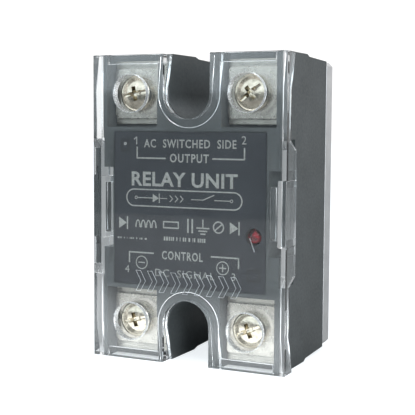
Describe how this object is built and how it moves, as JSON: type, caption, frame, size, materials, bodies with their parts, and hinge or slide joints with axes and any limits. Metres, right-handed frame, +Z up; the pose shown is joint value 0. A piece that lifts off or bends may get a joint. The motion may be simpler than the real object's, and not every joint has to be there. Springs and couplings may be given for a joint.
{
  "type": "solid state relay",
  "caption": "Panel-mount solid state relay: black case on an aluminium base plate, clear clip-on safety cover, screw terminals with clamp plates and a red indicator.",
  "frame": {"origin": "midway between the two mounting holes, on the base plate's back face", "axes": "+Z up towards the load terminals, +Y out of the back towards the heat sink, +X to the right as seen from the front"},
  "size_m": [0.04, 0.0285, 0.0584],
  "materials": {
    "aluminium_plate": "rolled, lightly brushed",
    "seal": "cured adhesive",
    "black_moulding": "fine spark-eroded texture",
    "clear_cover": "clear polycarbonate, polished",
    "label_film": "satin printed film",
    "red_lens": "tinted epoxy lens",
    "tinned_wire": "tinned",
    "plated_brass": "bright nickel plate",
    "plated_steel": "bright nickel plate",
    "board_laminate": "green solder resist",
    "white_moulding": "moulded epoxy",
    "blue_moulding": "moulded box",
    "grey_coating": "flameproof coating",
    "tan_coating": "dipped coating",
    "black_component": "moulded epoxy",
    "white_ceramic": "unglazed alumina",
    "bare_copper": "bonded copper",
    "silicon": "passivated die",
    "clear_gel": "soft silicone gel"
  },
  "bodies": {
    "relay_base": {"base_plate": "aluminium_plate", "base_seal": "seal", "case_housing": "black_moulding", "front_label": "label_film", "led_indicator": "red_lens", "led_leads": "tinned_wire", "load_terminal_1": "plated_brass", "load_terminal_2": "plated_brass", "input_terminal_3": "plated_brass", "input_terminal_4": "plated_brass", "captive_nuts": "plated_steel", "circuit_board": "board_laminate", "optocoupler": "white_moulding", "optocoupler_pins": "tinned_wire", "snubber_capacitor": "blue_moulding", "snubber_resistor": "grey_coating", "gate_resistors": "tan_coating", "input_resistor": "tan_coating", "input_diode": "black_component", "drive_transistors": "black_component", "component_leads": "tinned_wire", "ceramic_substrate": "white_ceramic", "copper_tracks": "bare_copper", "thyristor_chips": "silicon", "chip_clips": "bare_copper", "gate_leads": "tinned_wire", "silicone_gel": "clear_gel"},
    "cover": {"safety_cover": "clear_cover"},
    "clamp_1": {"clamp_plate_1": "plated_steel"},
    "screw_1": {"terminal_screw_1": "plated_steel"},
    "clamp_2": {"clamp_plate_2": "plated_steel"},
    "screw_2": {"terminal_screw_2": "plated_steel"},
    "clamp_3": {"clamp_plate_3": "plated_steel"},
    "screw_3": {"terminal_screw_3": "plated_steel"},
    "clamp_4": {"clamp_plate_4": "plated_steel"},
    "screw_4": {"terminal_screw_4": "plated_steel"}
  },
  "joints": [
    {"name": "cover_release", "type": "slide", "parent": "relay_base", "child": "cover", "axis": [0, -1, 0], "range_m": [0, 0.03]},
    {"name": "clamp_1_lift", "type": "slide", "parent": "relay_base", "child": "clamp_1", "axis": [0, -1, 0], "range_m": [0, 0.00175]},
    {"name": "screw_1_turn", "type": "hinge", "parent": "clamp_1", "child": "screw_1", "pos_m": [-0.012, -0.0245, 0.0218], "axis": [0, -1, 0], "range_deg": [0, 900]},
    {"name": "clamp_2_lift", "type": "slide", "parent": "relay_base", "child": "clamp_2", "axis": [0, -1, 0], "range_m": [0, 0.00175]},
    {"name": "screw_2_turn", "type": "hinge", "parent": "clamp_2", "child": "screw_2", "pos_m": [0.012, -0.0245, 0.0218], "axis": [0, -1, 0], "range_deg": [0, 900]},
    {"name": "clamp_3_lift", "type": "slide", "parent": "relay_base", "child": "clamp_3", "axis": [0, -1, 0], "range_m": [0, 0.00175]},
    {"name": "screw_3_turn", "type": "hinge", "parent": "clamp_3", "child": "screw_3", "pos_m": [0.012, -0.0245, -0.0218], "axis": [0, -1, 0], "range_deg": [0, 900]},
    {"name": "clamp_4_lift", "type": "slide", "parent": "relay_base", "child": "clamp_4", "axis": [0, -1, 0], "range_m": [0, 0.00175]},
    {"name": "screw_4_turn", "type": "hinge", "parent": "clamp_4", "child": "screw_4", "pos_m": [-0.012, -0.0245, -0.0218], "axis": [0, -1, 0], "range_deg": [0, 900]}
  ],
  "couplings": [
    {"joint": "screw_1_turn", "follows": "clamp_1_lift", "rad_per_m": 8976},
    {"joint": "screw_2_turn", "follows": "clamp_2_lift", "rad_per_m": 8976},
    {"joint": "screw_3_turn", "follows": "clamp_3_lift", "rad_per_m": 8976},
    {"joint": "screw_4_turn", "follows": "clamp_4_lift", "rad_per_m": 8976}
  ]
}
